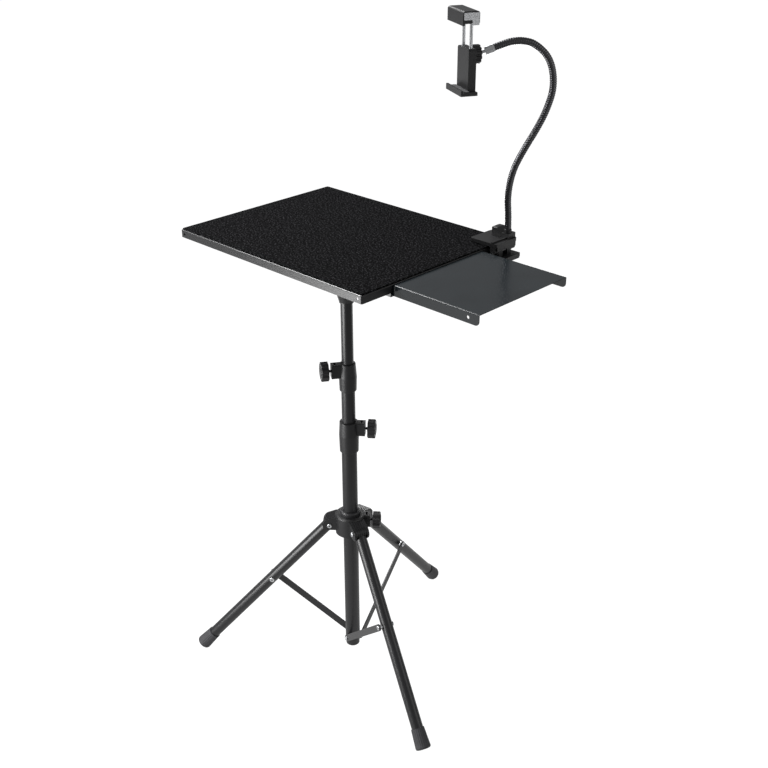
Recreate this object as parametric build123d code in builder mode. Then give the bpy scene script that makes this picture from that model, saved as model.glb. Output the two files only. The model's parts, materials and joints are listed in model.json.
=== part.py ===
from build123d import *
from math import atan2, cos, degrees, hypot, pi, radians, sin, sqrt, tan
import os

# Folding laptop table: a tripod base, a column of three telescoping tubes, a sheet-steel tray with a
# foam pad, a mouse tray that slides out of it, and a bendable neck with a holder, clipped to the tray.
# Millimetres and degrees. The column stands on the Z axis, the floor is z = 0, the user sits at -Y.

os.makedirs("parts", exist_ok=True)

# Fits shared by all pieces
cut_over = 5.0        # how far a cut runs past the face it leaves
running_gap = 0.1     # radial play of a pin, screw or tube in its bore
seat_gap = 0.05       # radial play of a piece that is pushed into its seat
side_gap = 0.3        # gap between faces that move past each other

# Tripod legs
leg_names = ("front", "rear", "left")
first_leg_azimuth = -19.8
leg_spacing = 120.0
leg_lean = 41.2       # from upright, with the base spread
leg_length = 354.6    # from the hub pivot to the end of the foot
leg_radius = 9.5
leg_wall = 1.2
leg_head = 4.2        # tube above the pivot
foot_radius = 12.5    # at the floor end
foot_mouth_radius = 10.8
foot_length = 33.0
foot_floor = 6.0      # rubber under the tube's end
foot_round = 3.0
foot_facet = 3.0      # how far the end is set into the floor plane

# Rivets and braces
pivot_radius = 2.6
pivot_head_radius = 3.9
rivet_radius = 2.5
rivet_head_radius = 4.0
rivet_head = 1.6
rivet_eye_radius = 1.4
rivet_eye_depth = 1.2
rivet_round = 0.9
brace_along = 155.0   # hub pivot to brace rivet, along the leg
brace_thickness = 2.0
brace_width = 11.5
brace_gap = 0.7       # between the brace and the outer tube beside it
brace_foot_radius = 6.0
brace_foot_height = 38.5
foot_rivet_depth = 6.2  # into the column's foot

# Hub that slides on the outer tube
hub_pivot_radius = 34.0
hub_drop = 15.4       # barrel below the pivots
hub_rise = 19.0       # barrel above the pivots
hub_barrel_radius = 25.5
hub_round = 3.0
hub_arm_width = 26.0
hub_hood_wall = 1.0   # over the leg's end, in each fork
hub_cheek_drop = 8.0  # forks below the pivots
hub_slot_reach = 80.0
hub_rib_width = 1.6
hub_rib_height = 0.8
hub_rib_count = 6
hub_bush_wall = 2.4
hub_bush_flange = 7.0
hub_bush_flange_radius = 17.0
hub_bush_round = 2.5
hub_boss_reach = 33.0
hub_knob_radius = 14.0
hub_knob_turn = 60.0  # knob's place, from the first leg round the column

# Column tubes
tube_wall = 1.2
outer_tube_radius = 12.5
outer_tube_length = 410.0
outer_tube_bottom = 30.0
middle_tube_radius = 11.0
middle_tube_length = 400.0
middle_drawn = 104.0  # middle tube above the outer one
inner_tube_radius = 9.5
inner_tube_length = 430.0
inner_drawn = 221.0   # inner tube above the middle one
plug_depth = 30.0
plug_lip = 9.0
plug_lip_radius = 11.6
plug_chamfer = 1.5
tube_plug_depth = 12.0
tube_plug_lip = 4.0

# Clamp collars, knobs and their screws
lower_collar_radius = 16.0
lower_collar_crown = 14.8  # radius at the top
lower_collar_sleeve = 30.0
lower_collar_head = 23.5
lower_collar_turn = 38.0
upper_collar_radius = 14.2
upper_collar_crown = 12.4
upper_collar_sleeve = 25.0
upper_collar_head = 22.0
upper_collar_turn = 236.0
collar_chamfer = 1.2
collar_draft = 0.7    # taper from the boss's foot down to the chamfer
collar_round = 0.8
boss_reach = 26.4
boss_width = 15.0
boss_height = 23.0
boss_round = 2.0
screw_radius = 2.0
screw_hole_gap = 0.3
nut_flats = 7.0
nut_thickness = 3.2
nut_place = 19.0      # inner face of the nut, from the column's axis
knob_radius = 15.5
knob_thickness = 12.0
knob_gap = 4.5        # between boss and knob
knob_neck_radius = 4.0
knob_neck = 1.0
knob_lobes = 8
knob_scallop_radius = 4.2
knob_scallop_share = 0.2   # part of the scallop that cuts into the rim
knob_chamfer = 1.0
knob_wall = 3.0       # plastic beyond the screw's end

# Tray, pad and socket
sheet = 1.0
sheet_bend = 1.4      # outer radius of a fold
tray_width = 380.0
tray_depth = 298.0
tray_forward = 5.5    # tray's middle in front of the column
tray_flange = 11.5
tray_corner = 2.5
tray_hole_radius = 2.0
tray_hole_inset = 8.0
pad_thickness = 2.0
pad_margin = 1.4
pad_round = 0.7
socket_sleeve = 97.0
socket_wall = 1.8
socket_cap = 9.5      # from the tube's top to the tray sheet
socket_cap_plate = 4.0
socket_neck_height = 1.5
socket_cone_radius = 42.0
socket_flange_radius = 50.0
socket_flange = 4.5
socket_screw_radius = 2.0
socket_screw_head_radius = 3.4
socket_screw_head = 2.4
socket_screw_count = 4
socket_screw_turn = 15.0

# Mouse tray and its rails
mouse_depth = 180.0
mouse_reach = 145.0   # beyond the tray's edge, pulled out
mouse_tail = 38.0     # left inside the tray
mouse_flange = 15.5
mouse_drop = 0.5
mouse_corner = 6.0    # round at the lower outer corner of each flange
mouse_hole_radius = 2.2
mouse_hole_inset = 18.0
ear_height = 5.0
ear_reach = 2.0
rail_length = 148.0
rail_inset = 2.0      # from the tray's edge
rail_foot = 10.0
rail_lip = 6.0
rail_gap = 0.6        # ear to rail web
rail_lip_gap = 0.2
rail_rivet_radius = 1.6
rail_rivet_head_radius = 3.0
rail_rivet_head = 1.0
rail_rivet_share = 0.35    # rivets' place along the half rail

# Clip on the tray's rear right corner
clip_width = 47.0
clip_rear_inset = 1.0
clip_jaw_reach = 32.0      # jaw over the tray
clip_plate = 5.0
clip_rim = 3.0
clip_rim_height = 2.0
clip_rim_out = 8.0         # rim's middle outside the tray's edge
clip_pad = 1.4
clip_pad_margin = 3.0
clip_pin_radius = 1.6
clip_pin_out = 9.0         # pin's axis outside the tray's edge
clip_knuckle_radius = 4.4
clip_knuckles = 5
clip_upper_handle = 16.0   # beyond the tray's edge
clip_lower_handle = 24.0
clip_handle_plate = 7.0
clip_lip = 2.0             # lip that hangs from the upper handle's end
clip_lip_height = 11.5
clip_wall_start = 17.0     # tall end of the block, inside the tray's edge
clip_wall_end = 8.0
clip_wall_height = 13.0
clip_block_reach = 12.5    # low end of the block, which carries the neck, outside the tray's edge
clip_block_depth = 17.0
clip_block_height = 7.0
clip_round = 1.5
clip_spring_wire = 0.7     # wire's radius
clip_spring_radius = 2.8
clip_spring_pitch = 2.2
clip_spring_turns = 3
clip_spring_dots = 24       # places on each turn where its gap is measured

# Neck, from its socket on the clip to the ball behind the holder
neck_out = 6.0             # beyond the tray's edge
neck_from_rear = 10.5
neck_plane_azimuth = 44.2
neck_radius = 4.9
neck_groove = 0.5
neck_rib_pitch = 4.6
neck_bend_share = 0.45     # part of the shorter run that a bend takes
rib_station_shares = (0.0, 0.35, 0.5, 0.85)
base_ferrule_radius = 5.5
base_ferrule_length = 8.5
ferrule_radius = 6.0
ferrule_length = 13.0
neck_route = ((0, 0), (0, 18), (-3, 48), (2.3, 84), (16.5, 114), (33, 143), (45, 169), (53.3, 201),
              (46.3, 236), (25, 256), (8, 260.3), (-7, 259.3), (-18.5, 255.6), (-29.5, 251.6))

# Ball joint and holder
ball_radius = 7.0
stud_radius = 2.6
stud_length = 12.0         # ball centre to ferrule
holder_yaw = -28.0
holder_width = 56.0
holder_open = 88.5         # between the jaws
holder_lip = 3.0
holder_slot = 9.5          # lip to back plate
holder_back = 11.0
holder_lower_jaw = 4.6
holder_upper_jaw = 15.0
holder_lip_height = 3.0
holder_body_width = 40.0
holder_body_top = 10.0     # above the middle of the opening
holder_round = 2.0
holder_jaw_round = 3.5
holder_pad = 1.2
rod_radius = 2.2
rod_spacing = 26.0
rod_depth = 18.0           # rod inside the body
rod_travel = 33.0          # how far the upper jaw closes
cup_radius = 10.5
cup_length = 8.0
nut_ring_radius = 12.5
nut_ring_front = 6.0       # ring ahead of the ball's centre
nut_ring_rear = 3.5        # ring behind the ball's centre
nut_ring_flutes = 12
nut_ring_flute_radius = 1.6

# Worked out from the sizes above
lean = radians(leg_lean)
leg_azimuths = [first_leg_azimuth + leg_spacing * place for place in range(len(leg_names))]
hub_pivot_height = leg_length * cos(lean) + foot_radius * sin(lean) - foot_facet
hub_bottom = hub_pivot_height - hub_drop
hub_top = hub_pivot_height + hub_rise
outer_tube_top = outer_tube_bottom + outer_tube_length
middle_tube_top = outer_tube_top + middle_drawn
inner_tube_top = middle_tube_top + inner_drawn
sheet_bottom = inner_tube_top + socket_cap
sheet_top = sheet_bottom + sheet
pad_top = sheet_top + pad_thickness
flange_bottom = sheet_top - tray_flange
tray_right = tray_width / 2
tray_rear = tray_depth / 2 - tray_forward
brace_inner = outer_tube_radius + brace_gap

pieces = {}


def keep(piece, name):
    piece.label = name
    pieces[name] = piece


def leg_point(along):
    return (hub_pivot_radius + along * sin(lean), 0, hub_pivot_height - along * cos(lean))


def leg_plane(along):
    return Plane(origin=leg_point(along), x_dir=(0, 1, 0), z_dir=(sin(lean), 0, -cos(lean)))


def cross_plane(point):
    return Plane(origin=point, x_dir=(1, 0, 0), z_dir=(0, -1, 0))


def arm_plane(azimuth):
    turn = radians(azimuth)
    return Plane(origin=(0, 0, 0), x_dir=(cos(turn), sin(turn), 0), z_dir=(sin(turn), -cos(turn), 0))


def radial_plane(azimuth, height, distance=0):
    turn = radians(azimuth)
    out = (cos(turn), sin(turn), 0)
    origin = (distance * out[0], distance * out[1], height)
    return Plane(origin=origin, x_dir=(-sin(turn), cos(turn), 0), z_dir=out)


def around_legs(piece):
    with BuildPart() as group:
        for azimuth in leg_azimuths:
            add(piece.rotate(Axis.Z, azimuth))
    return group.part


# Legs with their feet and brace rivets, made at azimuth 0 and turned into place
with BuildPart() as leg:
    with BuildSketch(leg_plane(-leg_head)):
        Circle(leg_radius)
        Circle(leg_radius - leg_wall, mode=Mode.SUBTRACT)
    extrude(amount=leg_head + leg_length - foot_floor)
    with Locations(cross_plane(leg_point(0))):
        Cylinder(pivot_radius + running_gap, leg_radius * 2 + cut_over, mode=Mode.SUBTRACT)
    with Locations(cross_plane(leg_point(brace_along))):
        Cylinder(rivet_radius + seat_gap, leg_radius * 2 + cut_over, mode=Mode.SUBTRACT)

with BuildPart() as foot:
    with BuildSketch(leg_plane(leg_length - foot_length)):
        Circle(foot_mouth_radius)
    with BuildSketch(leg_plane(leg_length)):
        Circle(foot_radius)
    loft()
    fillet(foot.edges().sort_by(Axis(leg_point(0), (sin(lean), 0, -cos(lean))))[-1], foot_round)
    with BuildSketch(leg_plane(leg_length - foot_length)):
        Circle(leg_radius + seat_gap)
    extrude(amount=foot_length - foot_floor, mode=Mode.SUBTRACT)
    split(bisect_by=Plane.XY, keep=Keep.TOP)

with BuildPart() as leg_rivet:
    with BuildSketch(cross_plane(leg_point(brace_along)).offset(-leg_radius)):
        Circle(rivet_radius)
    extrude(amount=leg_radius + brace_inner - side_gap)
    with BuildSketch(cross_plane(leg_point(brace_along)).offset(-leg_radius)):
        Circle(rivet_head_radius)
    extrude(amount=-rivet_head)
    fillet(leg_rivet.edges().sort_by(Axis(leg_point(brace_along), (0, 1, 0)))[-1], rivet_round)
    with BuildSketch(cross_plane(leg_point(brace_along)).offset(leg_radius)):
        Circle(rivet_head_radius)
    extrude(amount=brace_inner - side_gap - leg_radius)
    with BuildSketch(cross_plane(leg_point(brace_along)).offset(-leg_radius - rivet_head)):
        Circle(rivet_eye_radius)
    extrude(amount=rivet_eye_depth, mode=Mode.SUBTRACT)

# Braces: flat strips beside the legs, from the column's foot to the leg rivets
brace_end = leg_point(brace_along)
brace_run = brace_end[0] - brace_foot_radius
brace_climb = brace_end[2] - brace_foot_height
brace_length = hypot(brace_run, brace_climb)
brace_middle = (brace_foot_radius + brace_run / 2, brace_foot_height + brace_climb / 2)
brace_plane = Plane(origin=(0, -brace_inner, 0), x_dir=(1, 0, 0), z_dir=(0, -1, 0))

with BuildPart() as brace:
    with BuildSketch(brace_plane):
        with Locations(brace_middle):
            SlotCenterToCenter(brace_length, brace_width, rotation=degrees(atan2(brace_climb, brace_run)))
        with Locations((brace_foot_radius, brace_foot_height)):
            Circle(rivet_radius + running_gap, mode=Mode.SUBTRACT)
        with Locations((brace_end[0], brace_end[2])):
            Circle(rivet_radius + seat_gap, mode=Mode.SUBTRACT)
    extrude(amount=brace_thickness)

with BuildPart() as brace_rivet:
    with BuildSketch(brace_plane):
        with Locations((brace_end[0], brace_end[2])):
            Circle(rivet_radius)
    extrude(amount=brace_thickness)
    with BuildSketch(brace_plane.offset(brace_thickness)):
        with Locations((brace_end[0], brace_end[2])):
            Circle(rivet_head_radius)
    extrude(amount=rivet_head)
    fillet(brace_rivet.edges().sort_by(Axis.Y)[0], rivet_round)
    with BuildSketch(brace_plane.offset(brace_thickness + rivet_head)):
        with Locations((brace_end[0], brace_end[2])):
            Circle(rivet_eye_radius)
    extrude(amount=-rivet_eye_depth, mode=Mode.SUBTRACT)

for name, azimuth in zip(leg_names, leg_azimuths):
    keep(leg.part.rotate(Axis.Z, azimuth), f"{name}_leg")
    keep(foot.part.rotate(Axis.Z, azimuth), f"{name}_foot")
    keep(leg_rivet.part.rotate(Axis.Z, azimuth), f"{name}_leg_rivet")
    keep(brace.part.rotate(Axis.Z, azimuth), f"{name}_brace")
    keep(brace_rivet.part.rotate(Axis.Z, azimuth), f"{name}_brace_rivet")

# Column's foot: the plug in the outer tube and the rivets that the braces turn on
foot_rivet_inner = outer_tube_radius - foot_rivet_depth
foot_rivet_outer = brace_inner + brace_thickness + side_gap
foot_rivet_plane = cross_plane((brace_foot_radius, 0, brace_foot_height))

with BuildPart() as foot_rivet:
    with BuildSketch(foot_rivet_plane.offset(foot_rivet_inner)):
        Circle(rivet_radius)
    extrude(amount=foot_rivet_outer - foot_rivet_inner)
    with BuildSketch(foot_rivet_plane.offset(foot_rivet_outer)):
        Circle(rivet_head_radius)
    extrude(amount=rivet_head)
    fillet(foot_rivet.edges().sort_by(Axis.Y)[0], rivet_round)

with BuildPart() as foot_rivet_bore:
    with BuildSketch(foot_rivet_plane.offset(foot_rivet_inner - seat_gap)):
        Circle(rivet_radius + seat_gap)
    extrude(amount=outer_tube_radius)

keep(around_legs(foot_rivet.part), "brace_foot_rivets")

with BuildPart() as bottom_plug:
    with BuildSketch(Plane.XY.offset(outer_tube_bottom)):
        Circle(outer_tube_radius - tube_wall - seat_gap)
    extrude(amount=plug_depth)
    with BuildSketch(Plane.XY.offset(outer_tube_bottom)):
        Circle(plug_lip_radius)
    extrude(amount=-plug_lip)
    chamfer(bottom_plug.edges().group_by(Axis.Z)[0], plug_chamfer)
    for azimuth in leg_azimuths:
        add(foot_rivet_bore.part.rotate(Axis.Z, azimuth), mode=Mode.SUBTRACT)
keep(bottom_plug.part, "bottom_plug")

with BuildPart() as outer_tube:
    with BuildSketch(Plane.XY.offset(outer_tube_bottom)):
        Circle(outer_tube_radius)
        Circle(outer_tube_radius - tube_wall, mode=Mode.SUBTRACT)
    extrude(amount=outer_tube_length)
    for azimuth in leg_azimuths:
        add(foot_rivet_bore.part.rotate(Axis.Z, azimuth), mode=Mode.SUBTRACT)
keep(outer_tube.part, "outer_tube")

with BuildPart() as middle_tube:
    with BuildSketch(Plane.XY.offset(middle_tube_top)):
        Circle(middle_tube_radius)
        Circle(middle_tube_radius - tube_wall, mode=Mode.SUBTRACT)
    extrude(amount=-middle_tube_length)
keep(middle_tube.part, "middle_tube")

with BuildPart() as inner_tube:
    with BuildSketch(Plane.XY.offset(inner_tube_top)):
        Circle(inner_tube_radius)
        Circle(inner_tube_radius - tube_wall, mode=Mode.SUBTRACT)
    extrude(amount=-inner_tube_length)
keep(inner_tube.part, "inner_tube")


def tube_plug(tube_radius, tube_bottom):
    with BuildPart() as plug:
        with BuildSketch(Plane.XY.offset(tube_bottom)):
            Circle(tube_radius - tube_wall - seat_gap)
        extrude(amount=tube_plug_depth)
        with BuildSketch(Plane.XY.offset(tube_bottom)):
            Circle(tube_radius + side_gap - running_gap)
        extrude(amount=-tube_plug_lip)
        chamfer(plug.edges().group_by(Axis.Z)[0], tube_wall)
    return plug.part


keep(tube_plug(middle_tube_radius, middle_tube_top - middle_tube_length), "middle_tube_plug")
keep(tube_plug(inner_tube_radius, inner_tube_top - inner_tube_length), "inner_tube_plug")

# Hub: a ribbed moulding with three forks for the legs, a bush on the tube and a clamp boss
hub_bore_radius = outer_tube_radius + running_gap + hub_bush_wall
hub_boss_height = hub_pivot_height + hub_rise - boss_height / 2
hub_boss_azimuth = first_leg_azimuth + hub_knob_turn
leg_sweep_radius = hypot(leg_head, leg_radius) + side_gap
hub_arm_radius = leg_sweep_radius + hub_hood_wall
hub_arm_top = hub_top - hub_round
cheek_bottom = hub_pivot_height - hub_cheek_drop
rib_step = hub_arm_width / (hub_rib_count + 1)
rib_sides = [(place - (hub_rib_count - 1) / 2) * rib_step for place in range(hub_rib_count)]
fork_layers = [(0, 0, hub_arm_width)] + [(side, hub_rib_height, hub_rib_width) for side in rib_sides]
hub_pivot = (hub_pivot_radius, hub_pivot_height)
slot_end = (leg_point(hub_slot_reach)[0], leg_point(hub_slot_reach)[2])
slot_floor = (hub_pivot_radius, hub_pivot_height - hub_slot_reach)

with BuildPart() as hub:
    with BuildSketch(Plane.XY.offset(hub_bottom)):
        Circle(hub_barrel_radius)
    extrude(amount=hub_top - hub_bottom)
    fillet(hub.edges().group_by(Axis.Z)[-1], hub_round)
    for azimuth in leg_azimuths:
        for side, swell, width in fork_layers:
            with BuildSketch(arm_plane(azimuth).offset(side)):
                with Locations(hub_pivot):
                    Circle(hub_arm_radius + swell)
                with Locations((0, cheek_bottom)):
                    Rectangle(hub_barrel_radius, hub_arm_top + swell - cheek_bottom,
                              align=(Align.MIN, Align.MIN))
                make_hull()
                with Locations((hub_pivot_radius, cheek_bottom)):
                    Rectangle(hub_slot_reach, hub_slot_reach, align=(Align.CENTER, Align.MAX),
                              mode=Mode.SUBTRACT)
            extrude(amount=width / 2, both=True)
    with BuildSketch(radial_plane(hub_boss_azimuth, hub_boss_height)):
        RectangleRounded(boss_width, boss_height, boss_round)
    extrude(amount=hub_boss_reach)
    for azimuth in leg_azimuths:
        with BuildSketch(arm_plane(azimuth)):
            with Locations(hub_pivot):
                Circle(leg_sweep_radius)
        extrude(amount=leg_radius + side_gap, both=True, mode=Mode.SUBTRACT)
        with BuildSketch(arm_plane(azimuth)):
            with Locations(hub_pivot, slot_end, slot_floor):
                Circle(leg_radius + side_gap)
            make_hull()
        extrude(amount=leg_radius + side_gap, both=True, mode=Mode.SUBTRACT)
        with BuildSketch(arm_plane(azimuth)):
            with Locations(hub_pivot):
                Circle(pivot_radius + seat_gap)
        extrude(amount=hub_arm_width, both=True, mode=Mode.SUBTRACT)
    with BuildSketch(Plane.XY.offset(hub_bottom - cut_over)):
        Circle(hub_bore_radius)
    extrude(amount=hub_top - hub_bottom + cut_over * 2, mode=Mode.SUBTRACT)
    with BuildSketch(radial_plane(hub_boss_azimuth, hub_boss_height)):
        Circle(screw_radius + screw_hole_gap)
    extrude(amount=hub_boss_reach + cut_over, mode=Mode.SUBTRACT)
    hub_nut_place = hub_boss_reach - boss_reach + nut_place
    with BuildSketch(radial_plane(hub_boss_azimuth, hub_boss_height, hub_nut_place - seat_gap)):
        with Locations((0, boss_height / 2)):
            Rectangle(nut_flats + side_gap, boss_height + nut_flats + side_gap)
    extrude(amount=nut_thickness + seat_gap * 2, mode=Mode.SUBTRACT)
keep(hub.part, "hub_body")

with BuildPart() as hub_bush:
    with BuildSketch(Plane.XY.offset(hub_bottom)):
        Circle(hub_bore_radius - seat_gap)
    extrude(amount=hub_top - hub_bottom)
    with BuildSketch(Plane.XY.offset(hub_top)):
        Circle(hub_bush_flange_radius)
    extrude(amount=hub_bush_flange)
    fillet(hub_bush.edges().group_by(Axis.Z)[-1], hub_bush_round)
    with BuildSketch(Plane.XY.offset(hub_bottom - cut_over)):
        Circle(outer_tube_radius + running_gap)
    extrude(amount=hub_top - hub_bottom + cut_over * 3, mode=Mode.SUBTRACT)
keep(hub_bush.part, "hub_bush")

pivot_plane = cross_plane((hub_pivot_radius, 0, hub_pivot_height))

with BuildPart() as hub_rivet:
    with BuildSketch(pivot_plane):
        Circle(pivot_radius)
    extrude(amount=hub_arm_width / 2, both=True)
    for side in (1, -1):
        with BuildSketch(pivot_plane.offset(side * hub_arm_width / 2)):
            Circle(pivot_head_radius)
        extrude(amount=side * rivet_head)
        fillet(hub_rivet.edges().sort_by(Axis((0, 0, 0), (0, -side, 0)))[-1], rivet_round)
        rivet_face = side * (hub_arm_width / 2 + rivet_head)
        with BuildSketch(pivot_plane.offset(rivet_face)):
            Circle(rivet_eye_radius)
        extrude(amount=-side * rivet_eye_depth, mode=Mode.SUBTRACT)
keep(around_legs(hub_rivet.part), "hub_leg_rivets")


# Clamp collars and the nut, screw and knob of each clamp
def collar(radius, crown, tube_radius, tube_top, slider_radius, sleeve, head, azimuth):
    bottom, top = tube_top - sleeve, tube_top + head
    height = top - boss_height / 2
    foot_side = radius - collar_draft
    with BuildPart() as ring:
        with BuildSketch(Plane.XZ):
            with BuildLine():
                Polyline((0, bottom), (foot_side - collar_chamfer, bottom), (foot_side, bottom + collar_chamfer),
                         (radius, top - boss_height), (crown, top), (0, top), close=True)
            make_face()
        revolve(axis=Axis.Z)
        fillet(ring.edges().group_by(Axis.Z)[-1], collar_round)
        with BuildSketch(radial_plane(azimuth, height)):
            RectangleRounded(boss_width, boss_height, boss_round)
        extrude(amount=boss_reach)
        with BuildSketch(Plane.XY.offset(bottom - cut_over)):
            Circle(tube_radius + seat_gap)
        extrude(amount=sleeve + cut_over, mode=Mode.SUBTRACT)
        with BuildSketch(Plane.XY.offset(tube_top)):
            Circle(slider_radius + running_gap)
        extrude(amount=head + cut_over, mode=Mode.SUBTRACT)
        with BuildSketch(radial_plane(azimuth, height)):
            Circle(screw_radius + screw_hole_gap)
        extrude(amount=boss_reach + cut_over, mode=Mode.SUBTRACT)
        with BuildSketch(radial_plane(azimuth, height, nut_place - seat_gap)):
            with Locations((0, boss_height / 2)):
                Rectangle(nut_flats + side_gap, boss_height + nut_flats + side_gap)
        extrude(amount=nut_thickness + seat_gap * 2, mode=Mode.SUBTRACT)
    return ring.part


def clamp_nut(azimuth, height, place):
    with BuildPart() as nut:
        with BuildSketch(radial_plane(azimuth, height, place)):
            Rectangle(nut_flats, nut_flats)
            Circle(screw_radius + running_gap, mode=Mode.SUBTRACT)
        extrude(amount=nut_thickness)
    return nut.part


def clamp_screw(azimuth, height, tip, face):
    with BuildPart() as screw:
        with BuildSketch(radial_plane(azimuth, height, tip)):
            Circle(screw_radius)
        extrude(amount=face + knob_gap + knob_thickness - knob_wall - tip)
    return screw.part


def clamp_knob(azimuth, height, face, radius):
    place = face + knob_gap
    scallop_ring = radius + knob_scallop_radius * (1 - knob_scallop_share * 2)
    with BuildPart() as knob:
        with BuildSketch(radial_plane(azimuth, height, place)):
            Circle(radius)
            with PolarLocations(scallop_ring, knob_lobes):
                Circle(knob_scallop_radius, mode=Mode.SUBTRACT)
        extrude(amount=knob_thickness)
        outward = Axis((0, 0, height), radial_plane(azimuth, height).z_dir)
        front = knob.faces().filter_by(GeomType.PLANE).sort_by(outward)[-1]
        chamfer(front.outer_wire().edges(), knob_chamfer)
        with BuildSketch(radial_plane(azimuth, height, place)):
            Circle(knob_neck_radius)
        extrude(amount=-knob_neck)
        with BuildSketch(radial_plane(azimuth, height, place - knob_neck)):
            Circle(screw_radius + seat_gap)
        extrude(amount=knob_neck + knob_thickness - knob_wall + seat_gap, mode=Mode.SUBTRACT)
    return knob.part


def clamp(name, azimuth, height, tip, face, place, radius):
    keep(clamp_nut(azimuth, height, place), f"{name}_nut")
    keep(clamp_screw(azimuth, height, tip, face), f"{name}_screw")
    keep(clamp_knob(azimuth, height, face, radius), f"{name}_knob")


keep(collar(lower_collar_radius, lower_collar_crown, outer_tube_radius, outer_tube_top, middle_tube_radius,
            lower_collar_sleeve, lower_collar_head, lower_collar_turn), "lower_collar")
keep(collar(upper_collar_radius, upper_collar_crown, middle_tube_radius, middle_tube_top, inner_tube_radius,
            upper_collar_sleeve, upper_collar_head, upper_collar_turn), "upper_collar")
lower_clamp_height = outer_tube_top + lower_collar_head - boss_height / 2
upper_clamp_height = middle_tube_top + upper_collar_head - boss_height / 2
clamp("lower", lower_collar_turn, lower_clamp_height, middle_tube_radius + side_gap, boss_reach, nut_place,
      knob_radius)
clamp("upper", upper_collar_turn, upper_clamp_height, inner_tube_radius + side_gap, boss_reach, nut_place,
      knob_radius)
clamp("hub", hub_boss_azimuth, hub_boss_height, hub_bore_radius + side_gap, hub_boss_reach, hub_nut_place,
      hub_knob_radius)

# Socket: a hollow cone that seats the tray on the inner tube
socket_bottom = inner_tube_top - socket_sleeve
socket_flange_bottom = sheet_bottom - socket_flange
socket_bore = inner_tube_radius + running_gap
socket_neck = socket_bore + socket_wall
cone_bottom = socket_bottom + socket_neck_height
cone_slope = (socket_flange_bottom - cone_bottom) / (socket_cone_radius - socket_neck)
cavity_bottom = cone_bottom + socket_wall * cone_slope
cap_bottom = inner_tube_top + running_gap
screw_ring = (socket_cone_radius + socket_flange_radius) / 2

with BuildPart() as socket:
    with BuildSketch(Plane.XZ):
        with BuildLine():
            Polyline((socket_bore, socket_bottom), (socket_neck, socket_bottom), (socket_neck, cone_bottom),
                     (socket_cone_radius, socket_flange_bottom), (socket_flange_radius, socket_flange_bottom),
                     (socket_flange_radius, sheet_bottom), (socket_cone_radius - socket_wall, sheet_bottom),
                     (socket_cone_radius - socket_wall, socket_flange_bottom), (socket_neck, cavity_bottom),
                     (socket_neck, cap_bottom + socket_cap_plate), (0, cap_bottom + socket_cap_plate),
                     (0, cap_bottom), (socket_bore, cap_bottom), close=True)
        make_face()
    revolve(axis=Axis.Z)
    with PolarLocations(screw_ring, socket_screw_count, start_angle=socket_screw_turn):
        with Locations((0, 0, sheet_bottom)):
            Cylinder(socket_screw_radius + seat_gap, socket_flange * 2 + cut_over, mode=Mode.SUBTRACT)
keep(socket.part, "tray_socket")

with BuildPart() as socket_screws:
    with PolarLocations(screw_ring, socket_screw_count, start_angle=socket_screw_turn):
        with Locations((0, 0, socket_flange_bottom)):
            Cylinder(socket_screw_radius, socket_flange + sheet - seat_gap,
                     align=(Align.CENTER, Align.CENTER, Align.MIN))
            Cylinder(socket_screw_head_radius, socket_screw_head,
                     align=(Align.CENTER, Align.CENTER, Align.MAX))
keep(socket_screws.part, "socket_screws")

# Tray: a pan of folded sheet, open below, with a window in its right flange for the mouse tray
rail_web = mouse_depth / 2 + ear_reach + rail_gap
window_depth = (rail_web + sheet + side_gap) * 2
rail_middle = tray_right - rail_inset - rail_length / 2
rail_rivet_side = rail_web + sheet + rail_foot / 2
rail_rivet_places = [(rail_middle + along * rail_length, -tray_forward + side * rail_rivet_side)
                     for along in (-rail_rivet_share, rail_rivet_share) for side in (-1, 1)]

with BuildPart() as tray_pan:
    with BuildSketch(Plane.XY.offset(flange_bottom)):
        with Locations((0, -tray_forward)):
            RectangleRounded(tray_width, tray_depth, tray_corner)
    extrude(amount=tray_flange)
    fillet(tray_pan.edges().group_by(Axis.Z)[-1], sheet_bend)
    with BuildSketch(Plane.XY.offset(flange_bottom)):
        with Locations((0, -tray_forward)):
            RectangleRounded(tray_width - sheet * 2, tray_depth - sheet * 2, tray_corner - sheet)
    extrude(amount=tray_flange - sheet, mode=Mode.SUBTRACT)
    with BuildSketch(Plane.XY.offset(flange_bottom)):
        with Locations((tray_right, -tray_forward)):
            Rectangle(tray_corner * 2, window_depth)
    extrude(amount=tray_flange - sheet, mode=Mode.SUBTRACT)
    with Locations((0, -tray_forward, flange_bottom + tray_flange / 2)):
        with GridLocations(tray_width - tray_hole_inset * 2, 0, 2, 1):
            Cylinder(tray_hole_radius, tray_depth + cut_over, rotation=(90, 0, 0), mode=Mode.SUBTRACT)
    with PolarLocations(screw_ring, socket_screw_count, start_angle=socket_screw_turn):
        with Locations((0, 0, sheet_bottom)):
            Cylinder(socket_screw_radius + seat_gap, cut_over, mode=Mode.SUBTRACT)
    with Locations(*[(x, y, sheet_bottom) for x, y in rail_rivet_places]):
        Cylinder(rail_rivet_radius + seat_gap, cut_over, mode=Mode.SUBTRACT)
keep(tray_pan.part, "tray_pan")

with BuildPart() as foam_pad:
    with BuildSketch(Plane.XY.offset(sheet_top)):
        with Locations((0, -tray_forward)):
            RectangleRounded(tray_width - pad_margin * 2, tray_depth - pad_margin * 2, tray_corner)
    extrude(amount=pad_thickness)
    fillet(foam_pad.edges().group_by(Axis.Z)[-1], pad_round)
keep(foam_pad.part, "foam_pad")

# Mouse tray: a channel of folded sheet, open at both ends, with ears that meet the rails' stops
mouse_top = sheet_bottom - mouse_drop
mouse_bottom = mouse_top - mouse_flange
mouse_inner = tray_right - mouse_tail
mouse_outer = tray_right + mouse_reach
mouse_length = mouse_outer - mouse_inner

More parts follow.
